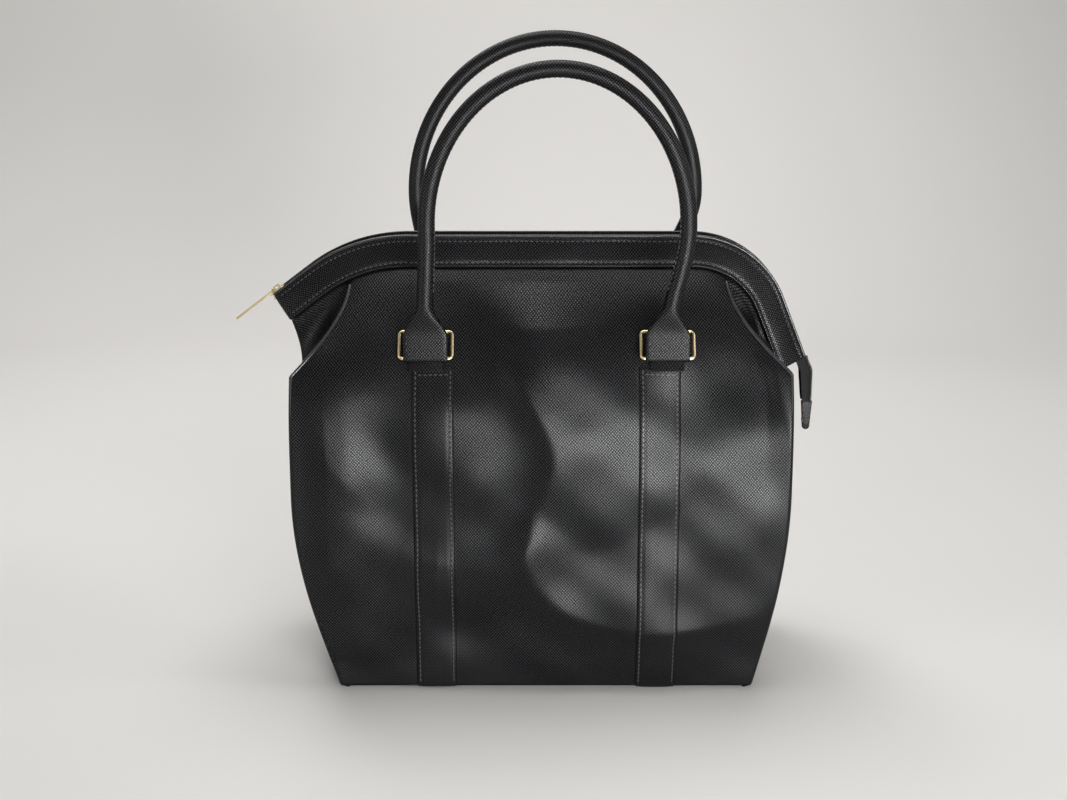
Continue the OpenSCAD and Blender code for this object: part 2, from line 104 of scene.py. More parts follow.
def bands_across(tree, place, spacing, turn, wobble, upright=False):
    """Even ridges of a given spacing, turned in the plane of UVs or the bag's upright plane."""
    angle = math.radians(turn)
    rotation = (0, angle, 0) if upright else (0, 0, angle)
    turned = add(tree, "Mapping", {"Rotation": rotation}, {"Vector": place})
    wave_period = 2 * math.pi / 20
    settings = {"Scale": wave_period / spacing, "Distortion": wobble, "Detail": 1.0,
                "Detail Scale": 1.5}
    return add(tree, "TexWave", settings, {"Vector": turned.outputs[0]}).outputs["Fac"]


def coated_leather(name, coordinates, roughness):
    """Split leather under a black plastic coat, pressed with a fine slanting cross hatch.
    It gives the eye broad soft lights on black, broken by the hatch. The real hatch is about
    0.7 mm apart, which is too fine to show, so it is drawn 1.7 mm apart."""
    material, tree, shader = new_finish(name, roughness, ior=1.45)
    place = add(tree, "TexCoord").outputs[coordinates]
    upright = coordinates == "Object"
    spacing, slant, wobble = 1.7 * MM, 42, 3.0
    long_lines = bands_across(tree, place, spacing, slant, wobble, upright)
    cross_lines = bands_across(tree, place, spacing, -slant, wobble, upright)
    hatch = add(tree, "Math", {"operation": "MULTIPLY"},
                {0: long_lines, 1: cross_lines}).outputs[0]
    rub_w, grit_w = 45 * MM, 0.9 * MM
    rubbed = add(tree, "TexNoise", {"Scale": 1 / rub_w, "Detail": 5.0},
                 {"Vector": place}).outputs[0]
    grit = add(tree, "TexNoise", {"Scale": 1 / grit_w, "Detail": 2.0},
               {"Vector": place}).outputs[0]
    tones = add(tree, "ValToRGB", links={"Fac": rubbed})
    for element, at, code in zip(tones.color_ramp.elements, (0.35, 0.75), ("#060607", "#0c0c0e")):
        element.position = at
        element.color = linear(code)
    # The coat's colour is a little lighter on the hatch's raised crossings
    hatch_lightened = add(tree, "Mix", {"data_type": "RGBA", "B": linear("#141416")},
               {"Factor": hatch, "A": tones.outputs[0]})
    tree.links.new(hatch_lightened.outputs["Result"], shader.inputs["Base Color"])
    uneven = add(tree, "MapRange", {"To Min": roughness - 0.07, "To Max": roughness + 0.09},
                 {"Value": rubbed})
    tree.links.new(uneven.outputs[0], shader.inputs["Roughness"])
    shine = add(tree, "MapRange", {"To Min": 0.04, "To Max": 0.8}, {"Value": hatch})
    tree.links.new(shine.outputs[0], shader.inputs["Specular IOR Level"])
    grain = add(tree, "Math", {"operation": "MULTIPLY_ADD", 1: 0.35}, {0: grit, 2: hatch})
    hatch_depth = 0.11 * MM
    bump = add(tree, "Bump", {"Strength": 0.55, "Distance": hatch_depth},
               {"Height": grain.outputs[0]})
    tree.links.new(bump.outputs[0], shader.inputs["Normal"])
    return material


wall_leather = coated_leather("wall_leather", "UV", 0.36)
trim_leather = coated_leather("trim_leather", "Object", 0.42)

# Acrylic edge paint, brushed on and dried smooth: it gives the eye a dark line with a thin shine.
# Its colour is drawn lighter than the black paint's own, as a painted highlight along the seam
# edges and the piping
finish = new_finish("edge_paint_with_painted_highlight", 0.24)
tree, brushed_w = finish[1], 4 * MM
place = add(tree, "TexCoord").outputs["Object"]
brushed = add(tree, "TexNoise", {"Scale": 1 / brushed_w, "Detail": 3.0}, {"Vector": place})
edge_paint_with_painted_highlight = patterned(finish, brushed.outputs[0], "#18181a", "#303033", rough=(0.18, 0.32))

# Pressed grey fibreboard: it gives the eye a dull brownish grey with darker flecks
finish = new_finish("grey_fibreboard", 0.85)
tree, fibre_w = finish[1], 2.5 * MM
place = add(tree, "TexCoord").outputs["Object"]
flecks = add(tree, "TexNoise", {"Scale": 1 / fibre_w, "Detail": 6.0}, {"Vector": place})
board_finish = patterned(finish, flecks.outputs[0], "#4a4138", "#6b6055", bump=(0.3, 0.1 * MM))


def piece_of(name, mesh, material):
    """A smooth piece made of a mesh."""
    mesh.polygons.foreach_set("use_smooth", [True] * len(mesh.polygons))
    mesh.materials.append(material)
    piece = bpy.data.objects.new(name, mesh)
    bpy.context.scene.collection.objects.link(piece)
    return piece


def mapped(name, points, faces, spots, material):
    """A piece with UVs given for each of its points, and with its faces turned outwards."""
    mesh = bpy.data.meshes.new(name)
    mesh.from_pydata(points.tolist(), [], faces)
    corners = np.empty(len(mesh.loops), np.int32)
    mesh.loops.foreach_get("vertex_index", corners)
    mesh.uv_layers.new(name="UVMap").data.foreach_set("uv", spots[corners].ravel())
    piece = piece_of(name, mesh, material)
    shape = bmesh.new()
    shape.from_mesh(mesh)
    bmesh.ops.recalc_face_normals(shape, faces=shape.faces)
    shape.to_mesh(mesh)
    shape.free()
    return piece


def outwards(face):
    """The way out of the leather or cloth at each point of a face."""
    normal = np.cross(np.gradient(face, axis=1), np.gradient(face, axis=0))
    return normal / (np.linalg.norm(normal, axis=2, keepdims=True) + 1e-12)


def sunk(face, depth):
    """A face set back by a depth along its own normal."""
    return face - outwards(face) * depth


def thick_sheet(name, face, thickness, place, material):
    """A closed sheet with rounded edges: a grid of points on its outer face, thickened inwards."""
    rows, columns = face.shape[:2]
    back = sunk(face, thickness)
    count = rows * columns
    grid = np.arange(count).reshape(rows, columns)
    quads = np.stack([grid[:-1, :-1], grid[:-1, 1:], grid[1:, 1:], grid[1:, :-1]], -1)
    quads = quads.reshape(-1, 4)
    rim = np.concatenate([grid[0, :-1], grid[:-1, -1], grid[-1, :0:-1], grid[:0:-1, 0]])
    inside = np.concatenate([grid[1, :-1], grid[:-1, -2], grid[-2, :0:-1], grid[:0:-1, 1]])
    points, behind = face.reshape(-1, 3), back.reshape(-1, 3)
    outward = points[rim] - points[inside]
    outward /= np.linalg.norm(outward, axis=1, keepdims=True) + 1e-12
    edge_bulge = 0.4
    edge = (points[rim] + behind[rim]) / 2 + outward * thickness * edge_bulge
    ring = 2 * count + np.arange(len(rim))
    following = np.roll(ring, -1)
    next_rim = np.roll(rim, -1)
    front_strip = np.stack([next_rim, rim, ring, following], -1)
    back_strip = np.stack([following, ring, rim + count, next_rim + count], -1)
    faces = np.concatenate([quads, quads[:, ::-1] + count, front_strip, back_strip]).tolist()
    flat = place.reshape(-1, 2)
    return mapped(name, np.concatenate([points, behind, edge]), faces,
                  np.concatenate([flat, flat, flat[rim]]), material)


def fitted(piece, body, slot, *replaced):
    """Fixes a piece to its body and the solids that it stands for; slot, its finish, is not used.
    """
    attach(piece, body)
    if replaced:
        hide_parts(*replaced)


half_w, half_d = (base_w - wall_gap) / 2, (base_d - wall_gap) / 2
x, y = np.meshgrid(np.linspace(-half_w, half_w, 90), np.linspace(half_d, -half_d, 44))
seam_lift, seam_w = 1.6 * MM, 5 * MM
to_edge = np.minimum(base_w / 2 - np.abs(x), base_d / 2 - np.abs(y))
base_face = np.stack([x, y, seam_lift * np.exp(-to_edge / seam_w * 2)], -1)
base = thick_sheet("base_leather", base_face, skin_t, np.stack([x, y], -1), wall_leather)
fitted(base, "bag", "coated_leather", "base_panel")


def recoat(node, material):
    """Gives a solid that stays a better finish."""
    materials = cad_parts[node].data.materials
    materials.clear()
    materials.append(material)


recoat("base_board", board_finish)

# Walls: the front and the rear, each one cut of coated leather, sewn to the side panels at rolled
# corners and drawn in under the bands of the mouth. A full, soft bag, so they swell and dent.
zip_top = 354 * MM
left_flat, left_r, left_turn, left_run = 110 * MM, 130 * MM, math.radians(37), 34 * MM
right_flat, right_r, right_turn, right_run = 115 * MM, 78 * MM, math.radians(68), 52 * MM
left_arc, right_arc = left_r * left_turn, right_r * right_turn
level_run = left_flat + right_flat
zip_len = left_run + left_arc + level_run + right_arc + right_run
mouth_gap = 22 * MM
band_h, band_out = 23 * MM, 9 * MM
tuck, tuck_gap = 1 * MM, 1.2 * MM
seam_drop = band_h - tuck
left_w, right_w = 198 * MM, 190 * MM
left_corner, right_corner = 155 * MM, 142 * MM
bulge = 8 * MM
lean_share, lean_power = 0.6, 2.2
tuck_share, flare_share, cap_share = 0.79, 0.5, 0.955
open_slope = 2


def mix(a, b, t):
    """From a to b by the share t."""
    return a + (b - a) * t


def ramp(h, start, power):
    """From 0 at start to 1 at the top."""
    return np.clip((h - start) / (1 - start), 0, None) ** power


def zip_slope(s):
    """The slope of the zip line at a distance along it from its left end."""
    falling_left = np.clip(1 - (s - left_run) / left_arc, 0, 1)
    falling_right = np.clip((s - left_run - left_arc - level_run) / right_arc, 0, 1)
    return left_turn * falling_left - right_turn * falling_right


def mouth(s, y, drop):
    """Points of the mouth: s along the zip, y across it and drop below it."""
    s, y, drop = np.broadcast_arrays(*(np.asarray(v, float) for v in (s, y, drop)))
    slope = zip_slope(s)
    up, down = np.maximum(slope, 0), np.maximum(-slope, 0)
    before = np.clip(left_run - s, 0, None)
    past = np.clip(s - (zip_len - right_run), 0, None)
    level = np.clip(s - left_run - left_arc, 0, level_run)
    x = (level - left_flat - left_r * np.sin(up) - before * math.cos(left_turn)
         + right_r * np.sin(down) + past * math.cos(right_turn) + drop * np.sin(slope))
    z = (zip_top - left_r * (1 - np.cos(up)) - before * math.sin(left_turn)
         - right_r * (1 - np.cos(down)) - past * math.sin(right_turn) - drop * np.cos(slope))
    return np.stack([x, y, z], -1)


def band_half(drop):
    return mouth_gap / 2 + band_out * drop / band_h


seam_y = band_half(seam_drop) - skin_t - tuck_gap
seam_line_s = np.linspace(0, zip_len, 3000)
seam_line = mouth(seam_line_s, 0, seam_drop)


def seam_s(x):
    return np.interp(x, seam_line[:, 0], seam_line_s)


def flared(h, left):
    side_w = np.where(left, left_w, right_w)
    return mix(base_w / 2, side_w, np.sin(math.pi / 2 * np.minimum(1, h / flare_share)))


def drawn(h):
    """How far the mouth has drawn a corner in, from 0 to 1."""
    return np.sin(math.pi / 2 * np.clip((h - tuck_share) / (1 - tuck_share), 0, 1))


def corner_x(h, left):
    return mix(flared(h, left), np.where(left, left_corner, right_corner), drawn(h))


def wall_y(h):
    swell = bulge * np.sin(math.pi * h)
    return base_d / 2 + swell - (base_d / 2 - seam_y) * ramp(h, lean_share, lean_power)


def free_y(x, z):
    """Half the depth that is free behind the bands at a point of the front's plane."""
    right = x > 0
    flat = np.where(right, right_flat, left_flat)
    r = np.where(right, right_r, left_r)
    turn = np.where(right, right_turn, left_turn)
    ends = mouth(np.array([0, zip_len]), 0, 0)
    end_x = np.where(right, ends[1, 0], -ends[0, 0])
    end_z = np.where(right, ends[1, 2], ends[0, 2])
    out, up = np.abs(x) - flat, z - zip_top + r
    past = (np.abs(x) - end_x) * np.cos(turn) + (end_z - z) * np.sin(turn)
    beside = (end_x - np.abs(x)) * np.sin(turn) + (end_z - z) * np.cos(turn)
    sloping = beside + 2 * np.maximum(0, past)
    round_shoulder = r - np.hypot(out, up)
    drop = np.where((up > 0) & (np.arctan2(out, up) < turn), round_shoulder, sloping)
    drop = np.where(out <= 0, zip_top - z, drop)
    behind_band = band_half(np.minimum(drop, band_h)) - skin_t - tuck_gap
    return behind_band + open_slope * np.maximum(0, drop - band_h)


def seam_z(u):
    """Height of the seam under the band, above a point across the front."""
    return mouth(seam_s(np.where(u < 0, u * left_corner, u * right_corner)), 0, seam_drop)[..., 2]


# Each dent or swelling: its place across and up, half sizes and depth outwards in mm, and its tilt
FRONT_DENTS = (
    (-54, 184, 34, 28, 0, 4.0),
    (-54, 282, 40, 36, 0, -4.5),
    (-10, 292, 32, 40, 0, 9.0),
    (40, 264, 28, 30, 0, 4.0),
    (122, 258, 60, 46, -6, -10.0),
    (112, 74, 80, 50, 0, 3.0),
    (18, 222, 22, 28, 0, -2.0),
    (-160, 124, 30, 60, 6, 2.0),
    (-122, 205, 26, 30, -18, -3.0),
    (-128, 76, 22, 40, 14, -3.0),
    (-60, 54, 64, 26, -4, -4.5),
)
REAR_DENTS = (
    (-40, 190, 60, 50, 18, -4.5),
    (70, 150, 46, 60, -20, 3.5),
    (130, 220, 34, 26, -30, -4.5),
    (-130, 110, 44, 50, 10, 3.5),
    (10, 70, 70, 24, 0, -3.0),
)
# Each crease of the front in mm: its line, its height, and how far it dies away to left and right
CREASES = (
    (((-84, 312), (-36, 278), (-9, 236), (9, 196), (0, 166), (-17, 127), (-11, 94), (18, 62),
      (84, 50), (150, 58), (190, 80)), 9.0, 16, 76),
    (((-200, 226), (-168, 186), (-132, 150)), 3.0, 30, 20),
    (((-118, 116), (-92, 107), (-56, 108), (-20, 114), (4, 142)), 5.0, 50, 16),
    (((-168, 262), (-150, 214), (-158, 150)), 1.2, 20, 24),
)
crest_r, crease_reach, end_fade = 3 * MM, 150 * MM, 1 / 4
# Long slack waves of the leather: length and height in mm, with the direction between them
WAVES = ((150, 70, 1.3), (96, 20, 0.9), (64, 118, 0.55), (41, 52, 0.3))
wave_shift = 1.7
# The relief dies away at the foot, under the seam at the head, at the sides and round the chapes
quiet_edge, quiet_head, quiet_seam, quiet_side = 22 * MM, 30 * MM, 11 * MM, 192 * MM
quiet_least = 0.15
ring_x, chape_z = 92.5 * MM, 276 * MM
calm_w, calm_h = 28 * MM, 26 * MM


def crease(x, z, line, left_fade, right_fade):
    """A share from 1 on a line down to 0 away from it, with a blunt crest and faded ends."""
    for _ in range(3):
        cut = np.stack([mix(line[:-1], line[1:], 0.25), mix(line[:-1], line[1:], 0.75)], 1)
        line = np.concatenate([line[:1], cut.reshape(-1, 2), line[-1:]])
    spot = np.stack([x, z], -1)
    nearest, side, run = np.full(x.shape, np.inf), np.zeros(x.shape), np.zeros(x.shape)
    lengths = np.linalg.norm(np.diff(line, axis=0), axis=1)
    before = np.concatenate([[0], np.cumsum(lengths)])
    for number, (start, finish) in enumerate(zip(line, line[1:])):
        way = (finish - start) / lengths[number]
        offset = spot - start
        share = np.clip(offset @ way, 0, lengths[number])
        apart = np.linalg.norm(offset - share[..., None] * way, axis=-1)
        closer = apart < nearest
        nearest = np.where(closer, apart, nearest)
        side = np.where(closer, way[0] * offset[..., 1] - way[1] * offset[..., 0], side)
        run = np.where(closer, before[number] + share, run)
    fade = np.where(side > 0, right_fade, left_fade)
    along = run / before[-1]
    window = np.clip(1 - (nearest / crease_reach) ** 2, 0, 1) ** 2
    ends = np.clip(along / end_fade, 0, 1) * np.clip((1 - along) / end_fade, 0, 1)
    return np.exp(-(np.hypot(nearest, crest_r) - crest_r) / fade) * window * ends


def relief(x, z, dents):
    """How far the wall stands out from its plain form, in metres."""
    out = np.zeros_like(x)
    creases = CREASES if dents is FRONT_DENTS else ()
    for across, high, wide, tall, tilt, depth in dents:
        turn = math.radians(tilt)
        dx, dz = x - across * MM, z - high * MM
        along = (dx * math.cos(turn) + dz * math.sin(turn)) / (wide * MM)
        up = (dz * math.cos(turn) - dx * math.sin(turn)) / (tall * MM)
        out += depth * MM * np.exp(-(along ** 2 + up ** 2))
    for line, height, left_fade, right_fade in creases:
        out += height * MM * crease(x, z, np.array(line) * MM, left_fade * MM, right_fade * MM)
    for number, (length, direction, height) in enumerate(WAVES):
        way = math.radians(direction)
        run = x * math.cos(way) + z * math.sin(way)
        out += height * MM * np.sin(2 * math.pi * run / (length * MM) + wave_shift * number)
    foot = np.clip(z / quiet_edge, 0, 1)
    seam_over = mouth(seam_s(x), 0, seam_drop)[..., 2]
    head = np.clip((seam_over - quiet_seam - z) / quiet_head, 0, 1)
    side = np.clip((quiet_side - np.abs(x)) / quiet_edge, quiet_least, 1)
    off_chape = ((np.abs(x) - ring_x) / calm_w) ** 2 + ((z - chape_z) / calm_h) ** 2
    return out * foot * head * side * (1 - np.exp(-off_chape))


def front_at(u, h, dents):
    """Outer face of the front: u from -1 at the left to 1 at the right, h from 0 up to 1."""
    x, z = u * corner_x(h, u < 0), h * seam_z(u)
    deep = np.where(h > cap_share, np.minimum(wall_y(h), free_y(x, z)), wall_y(h))
    return np.stack([x, -deep - relief(x, z, dents), z], -1)


corner_r = 3.5 * MM


def rolled(distance, r):
    """How far a face has turned inwards at a distance from its rolled edge."""
    return r - np.sqrt(r ** 2 - np.clip(r - distance, 0, r) ** 2)


def eased(count, low, high, ends):
    """Even shares from low to high, drawn closer at both ends."""
    t = np.linspace(0, 1, count)
    return mix(low, high, t - ends * np.sin(2 * math.pi * t) / (2 * math.pi))


def faced(face, place, dir):
    """A front face and its UVs, turned to the rear where dir is 1."""
    return (face[:, ::-1] * np.array([1, -1, 1]), place[:, ::-1]) if dir > 0 else (face, place)


ENDS = (("front", FRONT_DENTS, -1), ("rear", REAR_DENTS, 1))
for end, dents, dir in ENDS:
    u, h = np.meshgrid(eased(190, -1, 1, 0.9), eased(150, 0, 1, 0.6))
    face = front_at(u, h, dents)
    to_side = (1 - np.abs(u)) * np.abs(face[..., 0] / np.where(np.abs(u) < 0.01, 1, u))
    face[..., 1] += rolled(to_side, corner_r) + rolled(h * seam_z(u), corner_r)
    face, place = faced(face, face[..., [0, 2]], dir)
    fitted(thick_sheet(end + "_wall", face, skin_t, place, wall_leather),
           "bag", "coated_leather", end + "_panel")

# Side panels: one cut of the same leather at each end, folded inwards down the middle under the
# zip's ends like a bellows, so that they lean in and crease where the mouth draws them together.
pinch, meeting = 9 * MM, 0.6 * MM
end_share, half_least = 0.3, 0.2 * MM
fold_blunt, fold_r = 0.09, 2.5 * MM
slack_rise, slack_share = 1.6 * MM, 0.8
fold_in, fold_w = 2.4 * MM, 0.16


def side_at(dir, u, h):
    """Outer face of a side: dir is -1 left or 1 right, u is -1 at the front and 1 at the rear."""
    a = np.abs(u)
    end_s, corner_s = (0, seam_s(-left_corner)) if dir < 0 else (zip_len, seam_s(right_corner))
    s = np.where(a > end_share, mix(end_s, corner_s, (a - end_share) / (1 - end_share)), end_s)
    top = mouth(s, 0, seam_drop)
    inner = wall_y(h) - meeting
    top_y = (seam_y - meeting) * np.minimum(1, a / end_share)
    blunt = np.sqrt(a ** 2 + fold_blunt ** 2)
    nip = pinch * np.sin(math.pi * np.clip((h - tuck_share) / (1 - tuck_share), 0, 1)) * (1 - blunt)
    x = mix(dir * flared(h, dir < 0), top[..., 0], drawn(h)) - dir * nip
    z = h * top[..., 2]
    free = np.maximum(free_y(x, z) - meeting, 0.3 * MM)
    leaning = mix(a * inner, top_y, ramp(h, lean_share, lean_power))
    y = -fold_r * np.logaddexp(-leaning / fold_r, -free / fold_r)
    y = np.maximum(y, np.minimum(half_least, leaning))
    slack = (slack_rise * np.sin(7 * h + 2.2 * u) * (1 - a ** 4)
             * np.sin(math.pi * np.minimum(1, h / slack_share)))
    fold = fold_in * np.exp(-(u / fold_w) ** 2) * np.sin(math.pi * np.minimum(1, h / tuck_share))
    turned = rolled((1 - a) * inner, corner_r) + rolled(z, corner_r)
    return np.stack([x - dir * (turned + fold - slack), np.sign(u) * y, z], -1)


def joined(name, parts, material):
    """One smooth piece from several lists of points and faces."""
    points, faces, start = [], [], 0
    for part_points, part_faces in parts:
        points.append(part_points)
        faces.extend([tuple(corner + start for corner in face) for face in part_faces])
        start += len(part_points)
    mesh = bpy.data.meshes.new(name)
    mesh.from_pydata(np.concatenate(points).tolist(), [], faces)
    return piece_of(name, mesh, material)


def swept(name, path, radius, sides, material):
    """A round rod along a path, without twist; its radius is one value or one for each point."""
    path = np.asarray(path)
    radius = np.broadcast_to(radius, len(path))
    ahead = np.gradient(path, axis=0)
    ahead /= np.linalg.norm(ahead, axis=1, keepdims=True)
    up = np.array([0.0, 1.0, 0.0]) if abs(ahead[0][1]) < 0.8 else np.array([0.0, 0.0, 1.0])
    points = []
    for spot, way, r in zip(path, ahead, radius):
        up = up - way * np.dot(up, way)
        up /= np.linalg.norm(up)
        side = np.cross(way, up)
        for k in range(sides):
            angle = 2 * math.pi * k / sides
            points.append(spot + r * (up * math.cos(angle) + side * math.sin(angle)))
    faces = []
    for ring in range(len(path) - 1):
        for k in range(sides):
            first, second = ring * sides + k, ring * sides + (k + 1) % sides
            faces.append((first, first + sides, second + sides, second))
    faces.append(tuple(range(sides)))
    faces.append(tuple(reversed(range(len(points) - sides, len(points)))))
    return joined(name, [(np.array(points), faces)], material)


SIDES = (("left", -1), ("right", 1))
for side_name, side_dir in SIDES:
    u, h = np.meshgrid(eased(96, -1, 1, 0.7) * side_dir, eased(150, 0, 1, 0.5))
    side = thick_sheet(side_name + "_side", side_at(side_dir, u, h), skin_t,
                       np.stack([u * base_d / 2, h * zip_top], -1), wall_leather)
    fitted(side, "bag", "coated_leather", side_name + "_gusset")

# The painted edge of each side seam, which shows at the shoulders and thins out below them
edge_r, edge_out, edge_count = 1.4 * MM, 0.3 * MM, 60
edge_low, edge_high, edge_fade, edge_least, edge_u = 0.70, 0.985, 0.1, 0.1, 0.99
for end, dents, dir in ENDS:
    for side_name, side_dir in SIDES:
        h = np.linspace(edge_low, edge_high, edge_count)
        line = front_at(np.full(edge_count, side_dir * edge_u), h, dents)
        line[:, 1] -= edge_out
        # The edge paint's lighter colour is a painted highlight along this edge
        seam = swept(f"{end}_{side_name}_edge", line * np.array([1, -dir, 1]),
                     edge_r * np.clip((h - edge_low) / edge_fade, edge_least, 1), 10, edge_paint_with_painted_highlight)
        fitted(seam, "bag", "coated_leather")

# Linings: black woven cloth hung inside each wall from under the band, with a slip pocket sewn to
# the rear one. Nothing shows of them while the zip is shut.
lining_t = 0.7 * MM
lining_depth, pocket_depth = 3.0 * MM, 4.6 * MM
lining_u, lining_low, lining_high = 0.96, 0.016, 0.94
pocket_w, pocket_low, pocket_high = 200 * MM, 0.38, 0.74

# Cotton and polyester twill: it gives the eye a soft near-black with faint slanting ribs, which
# are drawn 1.2 mm apart, wider than in such cloth
finish = new_finish("lining_twill", 0.8)
tree, shader = finish[1:]
twill = bands_across(tree, add(tree, "TexCoord").outputs["UV"], 1.2 * MM, 45, 0.3)
lining_cloth = patterned(finish, twill, "#161517", "#252326", bump=(0.4, 0.1 * MM))
shader.inputs["Sheen Weight"].default_value = 0.2


def front_at_x(x, h, dents):
    return front_at(x / corner_x(h, x < 0), h, dents)


def hang(name, node, face, dir):
    """A cloth sheet behind the wall at the front or the rear."""
    face = faced(face, face, dir)[0]
    cloth = thick_sheet(name, face, lining_t, face[..., [0, 2]], lining_cloth)
    fitted(cloth, "bag", "lining_cloth", node)


for end, dents, dir in ENDS:
    u, h = np.meshgrid(np.linspace(-lining_u, lining_u, 90),
                       np.linspace(lining_low, lining_high, 70))
    face = sunk(front_at(u, h, dents), lining_depth)
    hang(end + "_lining_cloth", end + "_lining", face, dir)
x, h = np.meshgrid(np.linspace(-pocket_w / 2, pocket_w / 2, 60),
                   np.linspace(pocket_low, pocket_high, 40))
face = sunk(front_at_x(x, h, REAR_DENTS), pocket_depth)
hang("slip_pocket_cloth", "slip_pocket", face, 1)

# Straps: strips of the same leather with turned edges, sewn up the front and the rear with a row of
# black thread along each edge, from the seam of the base to just below the rings.
strap_w, strap_t = 32 * MM, 1.6 * MM
strap_x = sum(corner.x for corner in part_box("front_right_strap")) / 2
strap_top = 262 * MM
strap_foot, strap_share = 0.006, strap_top / (zip_top - seam_drop)
strap_gap, strap_crown, strap_edge_r = 0.3 * MM, 0.25 * MM, 1.4 * MM
row_in, row_pull, row_pull_w = 3.2 * MM, 0.45 * MM, 1.3 * MM
stitch_l, stitch_gap, thread_r = 2.9 * MM, 1.1 * MM, 0.42 * MM
# A stitch from end to end, in thread radii: how high each of its rings lies, and how thick it is
STITCH_RISE = np.array([-0.7, 0.25, 0.45, 0.25, -0.7])
STITCH_GIRTH = np.array([0.55, 0.95, 1.0, 0.95, 0.55])

# Bonded nylon thread, twisted from plies: it gives the eye small greyish glints along each stitch,
# which are painted highlights, lighter grey bands across the plies
finish = new_finish("bonded_thread", 0.5)
tree, shader = finish[1:]
# Lighter bands across the plies: painted highlights for the thread's glints
painted_ply_glints = bands_across(tree, add(tree, "TexCoord").outputs["Object"], 0.5 * MM, 30, 0.0)
thread = patterned(finish, painted_ply_glints, "#141416", "#242428")
shader.inputs["Sheen Weight"].default_value = 0.3


def stitches(path, away):
    """Sunk thread stitches along a path; away is the way out of the leather at each point of it."""
    steps = np.linalg.norm(np.diff(path, axis=0), axis=1)
    run = np.concatenate([[0], np.cumsum(steps)])
    count = max(1, int(run[-1] / (stitch_l + stitch_gap)))
    parts = []
    for number in range(count):
        middle = (number + 0.5) * run[-1] / count
        spots = np.linspace(middle - stitch_l / 2, middle + stitch_l / 2, 5)
        line = np.stack([np.interp(spots, run, path[:, k]) for k in range(3)], -1)
        out = np.array([np.interp(middle, run, away[:, k]) for k in range(3)])
        out /= np.linalg.norm(out)
        ahead = line[-1] - line[0]
        ahead /= np.linalg.norm(ahead)
        side = np.cross(out, ahead)
        points = []
        for spot, up, r in zip(line, STITCH_RISE * thread_r, STITCH_GIRTH * thread_r):
            for k in range(6):
                angle = 2 * math.pi * k / 6
                points.append(spot + out * (up + r * math.sin(angle)) + side * r * math.cos(angle))
        faces = [(5, 4, 3, 2, 1, 0), (24, 25, 26, 27, 28, 29)]
        for ring in range(4):
            for k in range(6):
                first, second = ring * 6 + k, ring * 6 + (k + 1) % 6
                faces.append((first, second, second + 6, first + 6))
        parts.append((np.array(points), faces))
    return parts


for end, dents, dir in ENDS:
    for side_name, side_dir in SIDES:
        x, h = np.meshgrid(np.linspace(-strap_w / 2, strap_w / 2, 25),
                           np.linspace(strap_foot, strap_share, 150))
        wall_face = front_at_x(x + side_dir * strap_x, h, dents)
        wall_face[..., 1] += rolled(wall_face[..., 2], corner_r)
        to_edge = strap_w / 2 - np.abs(x)
        crown = strap_crown * np.cos(math.pi * x / strap_w)
        pulled = row_pull * np.exp(-((to_edge - row_in) / row_pull_w) ** 2)
        lift = strap_gap + strap_t + crown - pulled - rolled(to_edge, strap_edge_r)
        face = wall_face + outwards(wall_face) * lift[..., None]
        face, place = faced(face, np.stack([x, h * zip_top], -1), dir)
        name = f"{end}_{side_name}_strap"
        strap = thick_sheet(name + "_leather", face, strap_t, place, wall_leather)
        fitted(strap, "bag", "coated_leather", name)
        away = outwards(face)
        rows = []
        for column in (2, -3):
            rows += stitches(face[2:-1, column], away[2:-1, column])
        rows += stitches(face[-4, 3:-3], away[-4, 3:-3])
        fitted(joined(name + "_stitching", rows, thread), "bag", "coated_leather")

# Bands: a doubled strip of leather along each side of the mouth, which holds the zip's tape. It is
# sewn down near both edges, and a slim leather piping is caught along its upper edge.
band_s, band_drops = np.linspace(0, zip_len, 300), np.linspace(band_h, 0, 26)
band_rows = (3.6 * MM, band_h - 3.4 * MM)
band_swell, band_edge_r, ripple_l = 0.5 * MM, 1.2 * MM, 74 * MM
piping_r, piping_in, piping_rise = 1.1 * MM, 0.9 * MM, 0.2 * MM

for end, _, dir in ENDS:
    s, drop = np.meshgrid(band_s, band_drops)
    arch = np.sin(math.pi * drop / band_h)
    dip = sum(np.exp(-((drop - row) / band_edge_r) ** 2) for row in band_rows)
    swell = band_swell * (arch + np.sin(2 * math.pi * s / ripple_l) * arch - dip)
    edge = rolled(np.minimum(drop, band_h - drop), band_edge_r)
    face = mouth(s, -(band_half(drop) + swell - edge), drop)
    face, place = faced(face, np.stack([s, drop], -1), dir)
    band = thick_sheet(end + "_mouth_band", face, skin_t, place, wall_leather)
    fitted(band, "bag", "coated_leather", end + "_band")
    away = outwards(face)
    rows = []
    for wanted in band_rows:
        row = int(np.argmin(np.abs(band_drops - wanted)))
        rows += stitches(face[row, 2:-2], away[row, 2:-2])
    fitted(joined(end + "_band_stitching", rows, thread), "bag", "coated_leather")
    piping_path = mouth(band_s, dir * (mouth_gap / 2 - piping_in), -piping_rise)
    # The piping's lighter edge-paint colour is a painted highlight along the mouth
    piping = swept(end + "_piping", piping_path, piping_r, 10, edge_paint_with_painted_highlight)
    fitted(piping, "bag", "coated_leather")

# Zip: black polyester tape down each side with a coiled nylon chain, shut from end to end. Each
# coil is one monofilament wound round a cord and sewn to the edge of its tape.
tape_drop, tape_t, tape_in = 1.2 * MM, 0.8 * MM, 3.3 * MM
coil_pitch, coil_wire_r = 1.6 * MM, 0.36 * MM
coil_w, coil_rise, coil_reach = 1.5 * MM, 0.85 * MM, 0.98

